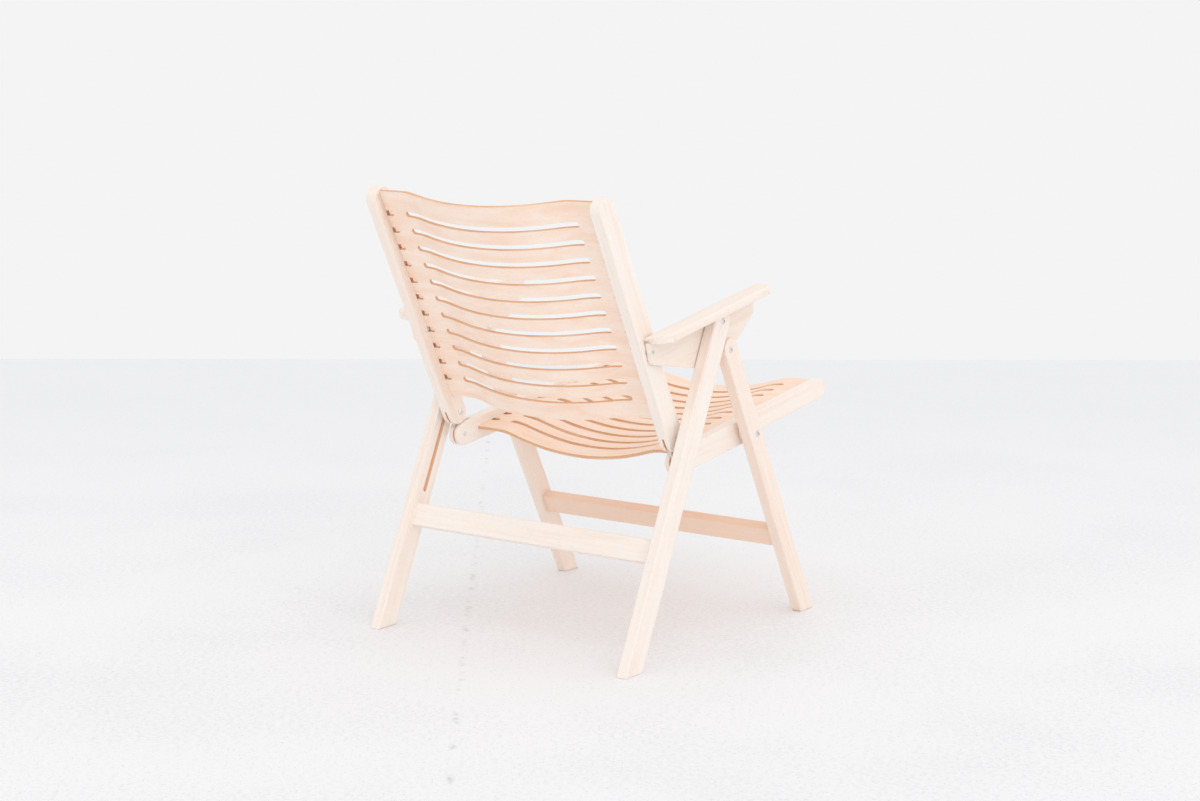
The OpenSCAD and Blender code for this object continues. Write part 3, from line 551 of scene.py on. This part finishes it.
# Every board: its body and slot, the lean of its grain in degrees, its edge rounding in mm, how much
# redder its wood is than the palest, partly its own tone and partly painted shade, and where in the grain
# pattern it is cut
boards = {
    "rear_leg_right": {
        "body": "base", "slot": "frame_wood", "tilt": 65.3, "edge": 2.0,
        "warmthAndShade": 0.03, "shift": (0.1, 0.0, 0.3)},
    "rear_leg_left": {
        "body": "base", "slot": "frame_wood", "tilt": 65.3, "edge": 2.0,
        "warmthAndShade": 0.05, "shift": (0.7, 0.2, 0.1)},
    "front_leg_right": {
        "body": "front_legs", "slot": "frame_wood", "tilt": -62.6, "edge": 2.0,
        "warmthAndShade": 0.17, "shift": (0.3, 0.5, 0.2)},
    "front_leg_left": {
        "body": "front_legs", "slot": "frame_wood", "tilt": -62.6, "edge": 2.0,
        "warmthAndShade": 0.17, "shift": (0.9, 0.1, 0.6)},
    "back_stile_right": {
        "body": "back", "slot": "frame_wood", "tilt": -63.6, "edge": 1.5,
        "warmthAndShade": 0.03, "shift": (0.2, 0.8, 0.4)},
    "back_stile_left": {
        "body": "back", "slot": "frame_wood", "tilt": -63.6, "edge": 1.5,
        "warmthAndShade": 0.1, "shift": (0.6, 0.3, 0.9)},
    "seat_rail_right": {
        "body": "seat", "slot": "frame_wood", "tilt": 7.5, "edge": 1.8,
        "warmthAndShade": 0.06, "shift": (0.4, 0.9, 0.7)},
    "seat_rail_left": {
        "body": "seat", "slot": "frame_wood", "tilt": 7.5, "edge": 1.8,
        "warmthAndShade": 0.04, "shift": (0.8, 0.6, 0.5)},
    "arm_board_right": {
        "body": "arm_right", "slot": "frame_wood", "tilt": 10.1, "edge": 0.8,
        "warmthAndShade": 0.08, "shift": (0.5, 0.7, 0.8)},
    "arm_board_left": {
        "body": "arm_left", "slot": "frame_wood", "tilt": 10.1, "edge": 0.8,
        "warmthAndShade": 0.05, "shift": (0.15, 0.4, 0.2)},
    "arm_bracket_right": {
        "body": "arm_right", "slot": "bracket_wood", "tilt": 10.1, "edge": 1.2,
        "warmthAndShade": 0.12, "shift": (0.35, 0.2, 0.6)},
    "arm_bracket_left": {
        "body": "arm_left", "slot": "bracket_wood", "tilt": 10.1, "edge": 1.2,
        "warmthAndShade": 0.12, "shift": (0.55, 0.9, 0.3)},
    "rear_stretcher": {
        "body": "base", "slot": "stretcher_wood", "tilt": 0.0, "edge": 1.6,
        "warmthAndShade": 0.03, "shift": (0.25, 0.1, 0.9), "alongX": True},
    # Painted shade: the front stretcher stands in the shade under the seat, and its wood is made much
    # redder for it
    "front_stretcher": {
        "body": "front_legs", "slot": "stretcher_wood", "tilt": 0.0, "edge": 1.6,
        "warmthAndShade": 0.42, "shift": (0.65, 0.5, 0.4), "alongX": True},
}

for node, board in boards.items():
    piece = copyOfNode(node)
    piece.data.materials.append(beechMaterial(
        node + "_beech", board["tilt"], board["shift"], board["warmthAndShade"], board.get("alongX", False)))
    sharpenCorners(piece)
    square = widestFace(piece, node).normal.copy()
    roundEdges(piece, board["edge"], edging["steps"], wanted=edgesOfBoard(piece, node))
    # Painted shade: the insides of grooves, slots and bores get a darker, redder copy of the wood, standing
    # in for the shade in them
    if node.startswith(("rear_leg", "front_leg", "back_stile", "seat_rail")):
        piece.data.materials.append(beechMaterial(
            node + "_shadedGrooves", board["tilt"], board["shift"], beech["paintedGrooveShade"]))
        paintShadeInGrooves(piece, square)
    finishPiece(piece, node, board["body"])

print("shells")

plyEdge = plyEdgeMaterial("beechPlyEdge")
# Each shell bulges away from the sitter, in a direction given in degrees from the rear. Its section, in
# mm, is a main arc, two arcs that turn it flat, and flat edges
shells = {
    "back_shell": {"body": "back", "warmthAndShade": 0.02, "radius": 400, "bulgeTilt": -26.4},
    "seat_shell": {"body": "seat", "warmthAndShade": 0.16, "radius": 440, "bulgeTilt": -99.4},
}
shellSection = {
    "halfWidth": 140,       # of the main arc
    "flangeRadius": 110,
    "allFlatFrom": 214,     # from the middle
    "thickness": 6,
    "edge": 0.6,
    "steps": 2,
}


def acrossSection(x, y, radius):
    # Depth between the shell's faces and direction square to it, at a point of the section in mm
    turn = math.asin(shellSection["halfWidth"] / radius)
    flange = shellSection["flangeRadius"]
    flatFrom = shellSection["halfWidth"] + flange * math.sin(turn)
    main = Vector((x, y - (radius + flange) * (1 - math.cos(turn)) + radius))
    if abs(x) < shellSection["halfWidth"] * main.length / radius:
        return main.length - radius, main.normalized()
    if abs(x) < flatFrom:
        fromFlange = Vector((math.copysign(flatFrom, x) - x, flange - y))
        return flange - fromFlange.length, fromFlange.normalized()
    return y, Vector((0, 1))


def dressShell(node, shell):
    piece = copyOfNode(node)
    piece.data.materials.append(veneerMaterial(node + "_veneer", shell["warmthAndShade"]))
    piece.data.materials.append(plyEdge)
    roundEdges(piece, shellSection["edge"], shellSection["steps"], sharpest=50)
    mesh = piece.data
    tilt = math.radians(shell["bulgeTilt"])
    bulge = Vector((0, math.cos(tilt), math.sin(tilt)))
    # The flat edges lie half a thickness to either side of the shell's own plane
    tips = [v.co.dot(bulge) for v in mesh.vertices if abs(v.co.x) > shellSection["allFlatFrom"] * mm]
    plane = (min(tips) + max(tips)) / 2
    depths, across = [], []
    for vertex in mesh.vertices:
        height = (vertex.co.dot(bulge) - plane) / mm
        depth, normal = acrossSection(vertex.co.x / mm, height, shell["radius"])
        depths.append(min(1, max(0, depth / shellSection["thickness"] + 0.5)))
        across.append(Vector((normal.x, 0, 0)) + bulge * normal.y)
    layer = mesh.attributes.new("layer", "FLOAT", "POINT")
    layer.data.foreach_set("value", depths)
    evenNormals(piece, smoothest=40)
    # Faces square to the shell are veneer and take its curve's own direction; the others are cut edges
    loopNormals = [Vector(corner.vector) for corner in mesh.corner_normals]
    for face in mesh.polygons:
        lean = face.normal.dot(across[face.vertices[0]])
        face.material_index = 0 if abs(lean) > 0.5 else 1
        if abs(lean) > 0.99:
            for i in face.loop_indices:
                loopNormals[i] = across[mesh.loops[i].vertex_index] * math.copysign(1, lean)
    mesh.normals_split_custom_set(loopNormals)
    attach(piece, shell["body"])
    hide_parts(node)


for node, shell in shells.items():
    dressShell(node, shell)

print("metal")

zinc = steelMaterial("zincPlatedSteel", steel["colour"], steel["roughness"])
polished = steelMaterial("polishedSteel", steel["polished"], steel["polishedRoughness"])

# Every set of metal pieces: its body, its edge rounding and, in the bolts' heads, the hexagon socket, in mm
metal = {
    "arm_pivot_bolts": {"body": "base", "edge": 0.25, "socket": {"across": 4.0, "depth": 1.8}},
    "front_leg_bolts": {"body": "front_legs", "edge": 0.25, "socket": {"across": 4.0, "depth": 1.8}},
    "seat_pivot_bolts": {"body": "front_legs", "edge": 0.25, "socket": {"across": 5.0, "depth": 2.0}},
    "back_pivot_bolts": {"body": "back", "edge": 0.15, "socket": {"across": 3.0, "depth": 1.6}},
    "guide_bolts": {"body": "back", "edge": 0.2, "polished": True},
    "link_pins": {"body": "seat", "edge": 0.2},
    "back_pivot_nuts": {"body": "back", "edge": 0.2, "polished": True},
    "arm_pivot_nuts": {"body": "base", "edge": 0.2},
    "front_leg_nuts": {"body": "front_legs", "edge": 0.2},
    "arm_pivot_washers": {"body": "base", "edge": 0.15},
    "front_leg_washers": {"body": "front_legs", "edge": 0.15},
    "back_pivot_washers": {"body": "back", "edge": 0.15},
    "link_plate_left": {"body": "seat", "edge": 0.4},
    "link_plate_right": {"body": "seat", "edge": 0.4},
}
smallSteps = 2             # facets across a rounding of a small piece
cutterLength = 4.0         # mm


def cutSockets(piece, socket):
    # The heads are the outermost parts of the pair, one on each side
    corners = [v.co.copy() for v in piece.data.vertices]
    top = max(abs(c.x) for c in corners)
    y, z = [(min(c[i] for c in corners) + max(c[i] for c in corners)) / 2 for i in (1, 2)]
    radius = socket["across"] * mm / math.sqrt(3)
    for side in (-1, 1):
        bpy.ops.object.select_all(action="DESELECT")
        bpy.ops.mesh.primitive_cylinder_add(
            vertices=6, radius=radius, depth=cutterLength * mm, rotation=(0, math.radians(90), 0),
            location=(side * (top - socket["depth"] * mm + cutterLength / 2 * mm), y, z))
        cutter = bpy.context.object
        onlyThis(piece)
        cut = piece.modifiers.new("socket", "BOOLEAN")
        cut.operation, cut.solver, cut.object = "DIFFERENCE", "EXACT", cutter
        bpy.ops.object.modifier_apply(modifier="socket")
        bpy.data.objects.remove(cutter)


for node, part in metal.items():
    piece = copyOfNode(node)
    piece.data.materials.append(polished if "polished" in part else zinc)
    if "socket" in part:
        cutSockets(piece, part["socket"])
    roundEdges(piece, part["edge"], smallSteps, sharpest=40)
    finishPiece(piece, node, part["body"], smoothest=38)

print("small wooden parts")

# As the boards, with one place in the grain pattern for all
smallWood = {
    # Painted shade: the spacers sit in the shade between the seat rails and the front legs, and their wood
    # is made redder for it
    "seat_pivot_spacers": {"body": "front_legs", "edge": 0.6, "tilt": 20.0, "warmthAndShade": 0.35},
    "arm_dowels_left": {"body": "arm_left", "edge": 0.4, "tilt": 100.1, "warmthAndShade": 0.2},
    "arm_dowels_right": {"body": "arm_right", "edge": 0.4, "tilt": 100.1, "warmthAndShade": 0.2},
}
smallWoodShift = (0.3, 0.3, 0.3)

for node, part in smallWood.items():
    piece = copyOfNode(node)
    piece.data.materials.append(
        beechMaterial(node + "_beech", part["tilt"], smallWoodShift, part["warmthAndShade"]))
    roundEdges(piece, part["edge"], smallSteps)
    finishPiece(piece, node, part["body"])
